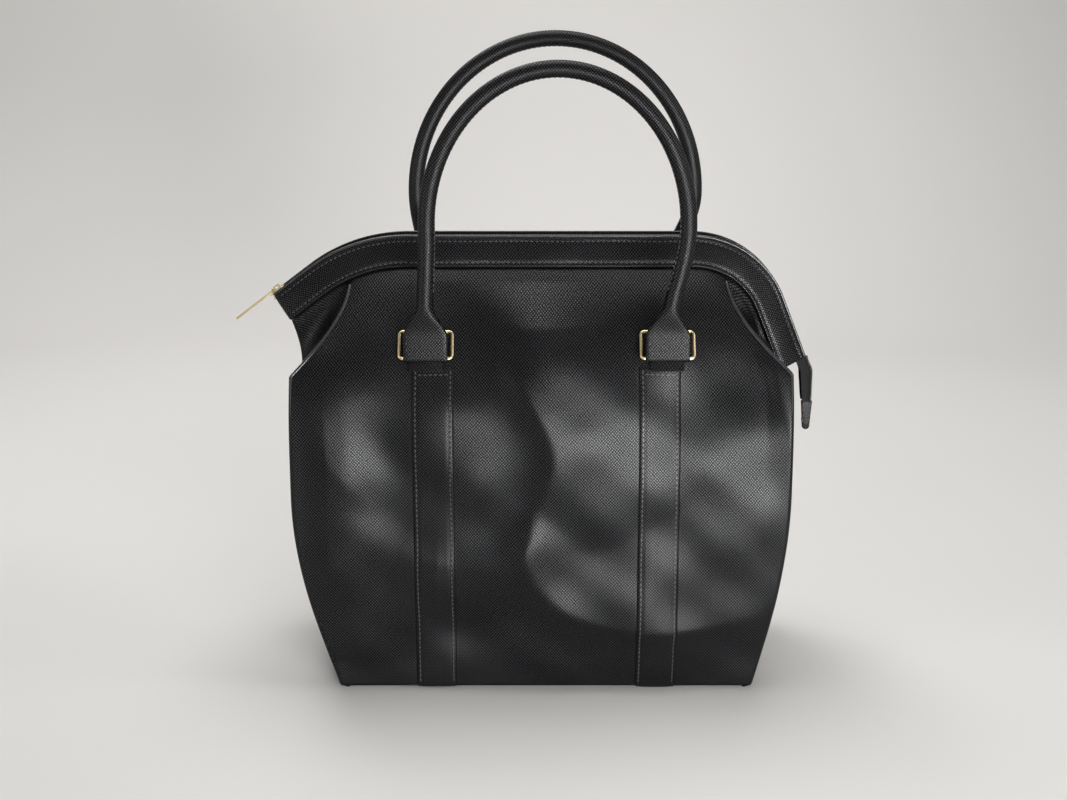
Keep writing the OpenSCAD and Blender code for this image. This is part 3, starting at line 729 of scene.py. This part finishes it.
# Woven polyester: it gives the eye a flat black with ribs across, drawn coarser than they are
finish = new_finish("polyester_tape", 0.75)
tree, shader = finish[1:]
tape_rib = bands_across(tree, add(tree, "TexCoord").outputs["UV"], 1.1 * MM, 0, 0.2)
zip_tape = patterned(finish, tape_rib, "#08080a", "#121214", bump=(0.5, 0.15 * MM))
shader.inputs["Sheen Weight"].default_value = 0.08
shader.inputs["Specular IOR Level"].default_value = 0.25

# Drawn nylon: it gives the eye a small sharp glint on each dark turn, dulled by dust
finish = new_finish("nylon_monofilament", 0.32, ior=1.53)
tree, dust_w = finish[1], 3 * MM
place = add(tree, "TexCoord").outputs["Object"]
dust = add(tree, "TexNoise", {"Scale": 1 / dust_w, "Detail": 3.0}, {"Vector": place})
nylon = patterned(finish, dust.outputs[0], "#0e0e10", "#232326", rough=(0.26, 0.42))


def coil(name, start, length, dir, at):
    """A wound coil from start over a length; at gives a point from s, y and a rise."""
    turns = int(length / coil_pitch)
    angle = np.linspace(0, 2 * math.pi * turns, turns * 8 + 1)
    s = start + length * angle / angle[-1] + (coil_pitch / 2 if dir > 0 else 0)
    y = dir * coil_w * (coil_reach + np.cos(angle))
    path = at(np.minimum(s, start + length), y, coil_rise * np.sin(angle))
    return swept(name, path, coil_wire_r, 5, nylon)


for end, _, dir in ENDS:
    s, y = np.meshgrid(band_s, np.linspace(-mouth_gap / 2 + skin_t, -tape_in, 8))
    face, place = faced(mouth(s, y, tape_drop), np.stack([s, y], -1), dir)
    tape = thick_sheet(end + "_tape", face, tape_t, place, zip_tape)
    fitted(tape, "bag", "zip_tape", end + "_zip_tape")
    chain = coil(end + "_coil", 0, zip_len, dir,
                 lambda s, y, rise: mouth(s, y, tape_drop - rise))
    fitted(chain, "bag", "zip_teeth", end + "_zip_teeth")

# Slider and pull: die-cast zinc, tumbled smooth and plated a pale gold. The slider clips round the
# shut chain at the left end, and the pull's eye hangs on the slider's bridge.

# Thin gold plate on polished zinc: it gives the eye pale warm reflections, smeared by touch
# and broken by hair scratches
finish = new_finish("gold_plate", 0.3, metallic=1.0)
tree, shader = finish[1:]
place = add(tree, "TexCoord").outputs["Object"]
smear_w, scratch_w = 7 * MM, 0.6 * MM
smear = add(tree, "TexNoise", {"Scale": 1 / smear_w, "Detail": 4.0}, {"Vector": place})
gold_plate = patterned(finish, smear.outputs[0], "#cdb684", "#e9d9b0", rough=(0.24, 0.42))
scratch = add(tree, "TexNoise", {"Scale": 1 / scratch_w, "Detail": 2.0}, {"Vector": place})
scratches = add(tree, "Bump", {"Strength": 0.06, "Distance": 0.05 * MM},
                {"Height": scratch.outputs[0]})
tree.links.new(scratches.outputs[0], shader.inputs["Normal"])


def softened(name, node, width, material):
    """A copy of a solid with its sharp edges rounded off."""
    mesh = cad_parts[node].data.copy()
    mesh.name = name
    mesh.materials.clear()
    shape = bmesh.new()
    shape.from_mesh(mesh)
    bmesh.ops.remove_doubles(shape, verts=shape.verts, dist=0.01 * MM)
    bmesh.ops.dissolve_limit(shape, angle_limit=math.radians(1), verts=shape.verts,
                             edges=shape.edges)
    shape.to_mesh(mesh)
    shape.free()
    for layer in [a for a in mesh.attributes if a.name == "custom_normal"]:
        mesh.attributes.remove(layer)
    piece = piece_of(name, mesh, material)
    rounding = piece.modifiers.new("rounding", "BEVEL")
    rounding.width = width
    rounding.segments = 3
    rounding.limit_method = "ANGLE"
    rounding.angle_limit = math.radians(40)
    evaluated = bpy.context.evaluated_depsgraph_get()
    bpy.context.view_layer.update()
    rounded = bpy.data.meshes.new_from_object(piece.evaluated_get(evaluated))
    piece.modifiers.clear()
    piece.data = rounded
    return piece


for name, width in (("slider", 0.35 * MM), ("pull", 0.45 * MM)):
    fitted(softened(name, "zip_" + name, width, gold_plate), name, "gold_plate", "zip_" + name)

# Rings: round wire of the same plated metal, bent to a rounded oblong and butted at the upper bar.
# Each hangs by that bar from its chape and carries an end of the handle on the lower one.
CORNERS = [f"{end}_{side_name}" for end, _, _ in ENDS for side_name, _ in SIDES]
for corner in CORNERS:
    recoat(corner + "_ring", gold_plate)

# Chapes: a leather loop folded round each ring's upper bar, skived thin and sewn to the wall behind
# the handle's end, where only its sides show.
for corner in CORNERS:
    name = corner + "_chape"
    chape = softened(name + "_leather", name, 0.4 * MM, trim_leather)
    fitted(chape, "bag", "coated_leather", name)

# Handles: leather rolled round a cord and closed by a stitched seam on the inner side. Each end is
# left flat, cut wider, folded round the lower bar of a ring and sewn to itself along its edges.
tab_w, tab_h = 34 * MM, 18 * MM
tab_low, tab_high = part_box("front_left_tab")
tab_t = tab_high.y - tab_low.y
bar_z = tab_low.z + tab_t / 2
flat_top = bar_z + tab_h
handle_d, handle_lean = 13 * MM, 8 * MM
leg_share, leg_turn_share = 0.42, 0.25
flare_l, flare_power = 24 * MM, 0.7
handle_steps, handle_sides, foot_steps = 260, 28, 29
tab_square, round_square = 7.0, 2.0
seam_dip, seam_spread, seam_off, seam_margin = 0.55 * MM, 0.16, 0.42, 26
edge_in, row_sunk, tab_row_low, tab_row_over = 3 * MM, 0.4 * MM, 4.5 * MM, 2 * MM
rope_d, rope_far, strands, strand_rise, lay = 7.4 * MM, 0.09, 3, 0.09, 5 * MM

# Undyed twisted cotton: it gives the eye a pale matt cord with slanting yarns
finish = new_finish("twisted_cotton", 0.9)
tree = finish[1]
yarn = bands_across(tree, add(tree, "TexCoord").outputs["Object"], 1.4 * MM, 50, 1.0)
core_rope = patterned(finish, yarn, "#b9b2a2", "#e4dfd2", bump=(0.4, 0.2 * MM))


def handle_line(t, high, wide):
    """The middle of a handle across and up: t from 0 at the left flat end to 1 at the right."""
    top = bar_z + high - handle_d / 2
    leg_top = mix(flat_top, top, leg_share)
    q = np.minimum(1, np.minimum(t, 1 - t) / leg_turn_share)
    dir = np.where(t < 0.5, -1, 1)
    angle = math.pi * np.clip((t - leg_turn_share) / (1 - 2 * leg_turn_share), 0, 1)
    out = (1 - np.cos(math.pi * q)) / 2
    leg_x = dir * mix(ring_x, wide / 2, out) + handle_lean * out
    x = np.where(q < 1, leg_x, handle_lean - wide / 2 * np.cos(angle))
    z = np.where(q < 1, mix(flat_top, leg_top, q), leg_top + (top - leg_top) * np.sin(angle))
    return x, z


def loft(name, rings, material, place):
    """A closed tube through rings of points, with UVs along and round it."""
    count, sides = rings.shape[:2]
    grid = np.arange(count * sides).reshape(count, sides)
    following = np.roll(grid, -1, axis=1)
    quads = np.stack([grid[:-1], following[:-1], following[1:], grid[1:]], -1).reshape(-1, 4)
    faces = quads.tolist() + [grid[0, ::-1].tolist(), grid[-1].tolist()]
    return mapped(name, rings.reshape(-1, 3), faces, place.reshape(-1, 2), material)


def handle_rings(high, wide, plane_y, rope=False):
    """Rings of a handle's section from its left flat end to its right one, with their UVs and the
    angles round them; for the rope, slimmer ones without flat ends."""
    far = rope_far if rope else 0
    t = np.linspace(far, 1 - far, handle_steps)
    x, z = handle_line(t, high, wide)
    dx, dz = np.gradient(x), np.gradient(z)
    run = np.concatenate([[0], np.cumsum(np.hypot(np.diff(x), np.diff(z)))])
    up = z - flat_top
    flat = up < flare_l / 12
    size = np.hypot(dx, dz)
    out_x = np.where(flat, np.where(t < 0.5, -1, 1), -dz / size)
    out_z = np.where(flat, 0, dx / size)
    k = np.clip(up / flare_l, 0, 1)
    e = (1 - np.cos(math.pi * k)) / 2
    half_w = mix(tab_w / 2, handle_d / 2, e ** flare_power)
    half_t = mix(tab_t / 2, handle_d / 2, e)
    if not rope:
        foot = np.linspace(-tab_t / 2, tab_h, foot_steps + 1)[:-1]
        least_t = 0.2 * MM
        foot_t = np.sqrt(np.clip((tab_t / 2) ** 2 - np.minimum(foot, 0) ** 2, least_t ** 2, None))
        left = np.zeros_like(foot)
        x = np.concatenate([left - ring_x, x, left + ring_x])
        z = np.concatenate([bar_z + foot, z, (bar_z + foot)[::-1]])
        run = np.concatenate([foot - tab_h, run, run[-1] + tab_h - foot[::-1]])
        out_x = np.concatenate([left - 1, out_x, left + 1])
        out_z = np.concatenate([left, out_z, left])
        half_w = np.concatenate([left + tab_w / 2, half_w, left + tab_w / 2])
        half_t = np.concatenate([foot_t, half_t, foot_t[::-1]])
        e = np.concatenate([left, e, left])
    square = mix(tab_square, round_square, e)
    angle = np.linspace(0, 2 * math.pi, handle_sides, endpoint=False)
    cosine, sine = np.cos(angle), np.sin(angle)
    power = 2 / square[:, None]
    across = np.sign(cosine) * np.abs(cosine) ** power * half_w[:, None]
    deep = np.sign(sine) * np.abs(sine) ** power * half_t[:, None]
    if rope:
        twist = (1 + strand_rise * np.cos(strands * angle + run[:, None] / lay)) * rope_d / handle_d
        across, deep = across * twist, deep * twist
    else:
        inner = np.exp(-((angle - math.pi) / seam_spread) ** 2) * e[:, None]
        across = across * (1 - seam_dip / (handle_d / 2) * inner)
    points = np.stack([x[:, None] + out_x[:, None] * across, plane_y + deep,
                       z[:, None] + out_z[:, None] * across], -1)
    place = np.stack(np.broadcast_arrays(angle * handle_d / 2, run[:, None]), -1)
    return points, place, angle


for end, high, wide, dir in (("front", 224 * MM, 196 * MM, -1), ("rear", 239 * MM, 230 * MM, 1)):
    tab_low, tab_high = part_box(end + "_left_tab")
    plane_y = (tab_low.y + tab_high.y) / 2
    points, place, angle = handle_rings(high, wide, plane_y)
    leather = loft(end + "_handle_leather", points, trim_leather, place)
    fitted(leather, end + "_grip", "coated_leather", end + "_handle",
           end + "_left_tab", end + "_right_tab")
    away = points - points.mean(axis=1, keepdims=True)
    seam_side = int(np.argmin(np.abs(angle - math.pi - seam_off)))
    past_tab = foot_steps + seam_margin
    roll = slice(past_tab, len(points) - past_tab)
    rows = stitches(points[roll, seam_side], away[roll, seam_side])
    low, top = bar_z + tab_row_low, flat_top + tab_row_over
    row_y = plane_y + dir * (tab_t / 2 - row_sunk)
    tab_away = np.repeat([[0.0, dir, 0.0]], 12, axis=0)
    for side in (-1, 1):
        left, right = (side * ring_x + k * (tab_w / 2 - edge_in) for k in (-1, 1))
        outline = [(left, top), (left, low), (right, low), (right, top)]
        for (x0, z0), (x1, z1) in zip(outline, outline[1:]):
            share = np.linspace(0, 1, 12)
            path = np.stack([mix(x0, x1, share), np.full(12, row_y), mix(z0, z1, share)], -1)
            rows += stitches(path, tab_away)
    fitted(joined(end + "_handle_stitching", rows, thread), end + "_grip", "coated_leather")
    points, place, angle = handle_rings(high, wide, plane_y, rope=True)
    core = loft(end + "_handle_rope", points, core_rope, place)
    fitted(core, end + "_grip", "core_cord", end + "_handle_core")

# Loose end: the zip runs on past the right end of the mouth, folds along its chain and hangs, with
# a small leather cover sewn over its tip.
chain_low, chain_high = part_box("tail_teeth")
tape_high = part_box("tail_tape")[1]
cover_low, cover_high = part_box("tail_cover")
# The end is drawn shorter than its solids, and its cover slimmer, as the photo shows them
cover_short, cover_slim = 9 * MM, 0.8
tape_w_low, tape_w_high, tape_w_turn = 6 * MM, 8.5 * MM, 0.62 * math.pi
tail_foot, tail_head = chain_low.z - cover_short, chain_high.z
sway_out, sway_l = 4.5 * MM, 14 * MM
chain_in, chain_slim, chain_gap = 0.9 * MM, 0.72, 0.4 * MM
leaf_t, leaf_curl, leaf_root, leaf_open, leaf_power = 0.7 * MM, 0.5 * MM, 0.4, 0.9, 1.2
# Corners of the rows sewn on the cover, as shares of its width and height
COVER_CORNERS = ((0.16, 0.24), (0.16, 0.95), (0.84, 0.95), (0.70, 0.24), (0.16, 0.24))


def sway(z):
    """How far the loose end stands out from the bag at a height."""
    low = np.clip((tail_head - z) / sway_l, 0, 1)
    return sway_out * low ** 2 * (3 - 2 * low)


def tail_at(s, y, rise):
    s, y, rise = np.broadcast_arrays(s, y, rise)
    z = tail_head - s
    return np.stack([chain_low.x + chain_in + rise + sway(z), y * chain_slim, z], -1)


for end, _, dir in ENDS:
    chain = coil("tail_coil_" + end, chain_gap, tail_head - tail_foot - 2 * chain_gap, dir, tail_at)
    if dir < 0:
        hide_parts("tail_teeth")
    fitted(chain, "zip_tail", "zip_teeth")

tape_foot = cover_high.z - cover_short
z, out = np.meshgrid(np.linspace(tape_foot, tape_high.z, 24), np.linspace(0, 1, 10))
high = (z - tape_foot) / (tape_high.z - tape_foot)
leaf_w = mix(tape_w_low, tape_w_high, np.sin(tape_w_turn * high))
for end, _, dir in ENDS:
    opened = dir * leaf_open * (coil_w * leaf_root + (tape_high.y - coil_w) * out ** leaf_power)
    face = np.stack([tape_high.x - leaf_w * out + sway(z),
                     opened + leaf_curl * np.sin(4 * math.pi * high) * out, z], -1)
    tape = thick_sheet("tail_tape_" + end, face[:, ::-dir], leaf_t,
                       np.stack([z, out * leaf_w], -1), zip_tape)
    if dir < 0:
        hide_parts("tail_tape")
    fitted(tape, "zip_tail", "zip_tape")

cover = softened("tail_cover_leather", "tail_cover", 0.9 * MM, trim_leather)
fitted(cover, "zip_tail", "coated_leather", "tail_cover")
cover_h = cover_high.z - cover_low.z - cover_short
cover_w = cover_slim * (cover_high.x - cover_low.x)
for vertex in cover.data.vertices:
    vertex.co.z = mix(cover_low.z, vertex.co.z, cover_h / (cover_h + cover_short))
    vertex.co.x = mix(cover_high.x, vertex.co.x, cover_slim) + sway(cover_low.z)
rows = []
for dir in (-1, 1):
    y = dir * (cover_high.y - cover_low.y) / 2
    for start, finish in zip(COVER_CORNERS, COVER_CORNERS[1:]):
        share = np.linspace(0, 1, 10)
        x = cover_high.x + sway(cover_low.z) - cover_w * (1 - mix(start[0], finish[0], share))
        z = cover_low.z + cover_h * mix(start[1], finish[1], share)
        path = np.stack([x, np.full(10, y), z], -1)
        rows += stitches(path, np.repeat([[0.0, dir, 0.0]], 10, axis=0))
fitted(joined("tail_cover_stitching", rows, thread), "zip_tail", "coated_leather")

# Studio: a pale seamless cloth that runs from the floor up behind the object, soft lamps above and
# in front, and the camera at the photograph's place.

# Matt wool cloth: it gives the eye an even pale grey with a faint wash of tone
finish = new_finish("pale_backdrop", 0.95)
tree, shader = finish[1:]
place = add(tree, "TexCoord").outputs["Object"]
wash_w = 800 * MM
wash = add(tree, "TexNoise", {"Scale": 1 / wash_w, "Detail": 2.0}, {"Vector": place})
sweep = patterned(finish, wash.outputs[0], "#d3d1ce", "#dddbd8")
shader.inputs["Specular IOR Level"].default_value = 0.1
sweep_w, sweep_front, sweep_back, sweep_r, sweep_h = 3.4, -1.15, 1.1, 0.7, 1.9
turn = np.linspace(0, math.pi / 2, 24)
profile = [(sweep_front, 0.0)]
profile += [(sweep_back + sweep_r * math.sin(a), sweep_r * (1 - math.cos(a))) for a in turn]
profile += [(sweep_back + sweep_r, sweep_h)]
points = [(x, y, z) for y, z in profile for x in (-sweep_w / 2, sweep_w / 2)]
faces = [(2 * k, 2 * k + 1, 2 * k + 3, 2 * k + 2) for k in range(len(profile) - 1)]
mesh = bpy.data.meshes.new("backdrop")
mesh.from_pydata(points, [], faces)
backdrop = piece_of("backdrop", mesh, sweep)


def softbox(name, power, size, place, aim, spread=180):
    """An oblong soft lamp aimed at a point, with its power in watts and its spread in degrees."""
    light = bpy.data.lights.new(name, "AREA")
    light.energy = power
    light.shape = "RECTANGLE"
    light.size, light.size_y = size
    light.spread = math.radians(spread)
    lamp = bpy.data.objects.new(name, light)
    bpy.context.scene.collection.objects.link(lamp)
    lamp.location = place
    lamp.visible_camera = False
    way = np.array(aim) - np.array(place)
    flat = math.hypot(way[0], way[1])
    lamp.rotation_euler = (math.atan2(flat, -way[2]), 0, math.atan2(-way[0], way[1]))


aim = (0, 0, 0.2)
# The key's beam is narrow, so that less of the floor before it burns out
softbox("key_softbox", 5.2, (0.7, 0.34), (0.45, -1.3, 0.18), (0, 0, 0.16), spread=70)
softbox("left_softbox", 5, (0.5, 0.5), (-1.5, -0.9, 0.4), aim)
softbox("right_softbox", 5, (0.5, 0.5), (1.5, -0.3, 1.0), aim)
softbox("rear_softbox", 8, (0.9, 0.6), (-0.6, 1.0, 1.5), aim)
softbox("top_softbox", 46, (1.8, 1.8), (0.0, 0.45, 2.6), (0, 0.3, 0))

# The air round the set: pale where the camera sees it, half as bright where a surface mirrors it,
# and next to dark as a light, so that the lamps alone shape the leather
world = bpy.data.worlds.new("studio_air")
bpy.context.scene.world = world
world.use_nodes = True
tree = world.node_tree
air = tree.nodes["Background"]
air.inputs["Color"].default_value = linear("#e6e4e1")
seen, reflected, lighting = 0.9, 0.5, 0.06
ray = add(tree, "LightPath")
mirrored = add(tree, "Math", {"operation": "MAXIMUM"},
               {0: ray.outputs["Is Glossy Ray"], 1: ray.outputs["Is Transmission Ray"]})
mirrored_level = add(tree, "MapRange", {"To Min": lighting, "To Max": reflected},
                     {"Value": mirrored.outputs[0]})
seen_level = add(tree, "MapRange", {"To Max": seen}, {"Value": ray.outputs["Is Camera Ray"]})
level = add(tree, "Math", {"operation": "MAXIMUM"},
            {0: mirrored_level.outputs[0], 1: seen_level.outputs[0]})
tree.links.new(level.outputs[0], air.inputs["Strength"])

# The camera stands 15 degrees up, with the focal length of the photograph in its own pixels
camera_data = bpy.data.cameras.new("camera")
camera = bpy.data.objects.new("camera", camera_data)
bpy.context.scene.collection.objects.link(camera)
photo_width, focal = 1067, 1662
camera_data.sensor_width = 36
camera_data.lens = camera_data.sensor_width * focal / photo_width
lift = math.radians(15)
distance, target_x, target_z = 1.35, -0.010, 0.2184
camera.location = (target_x, -distance * math.cos(lift), target_z + distance * math.sin(lift))
camera.rotation_euler = (math.pi / 2 - lift, 0, 0)
bpy.context.scene.camera = camera
bpy.context.scene.view_settings.view_transform = "Standard"
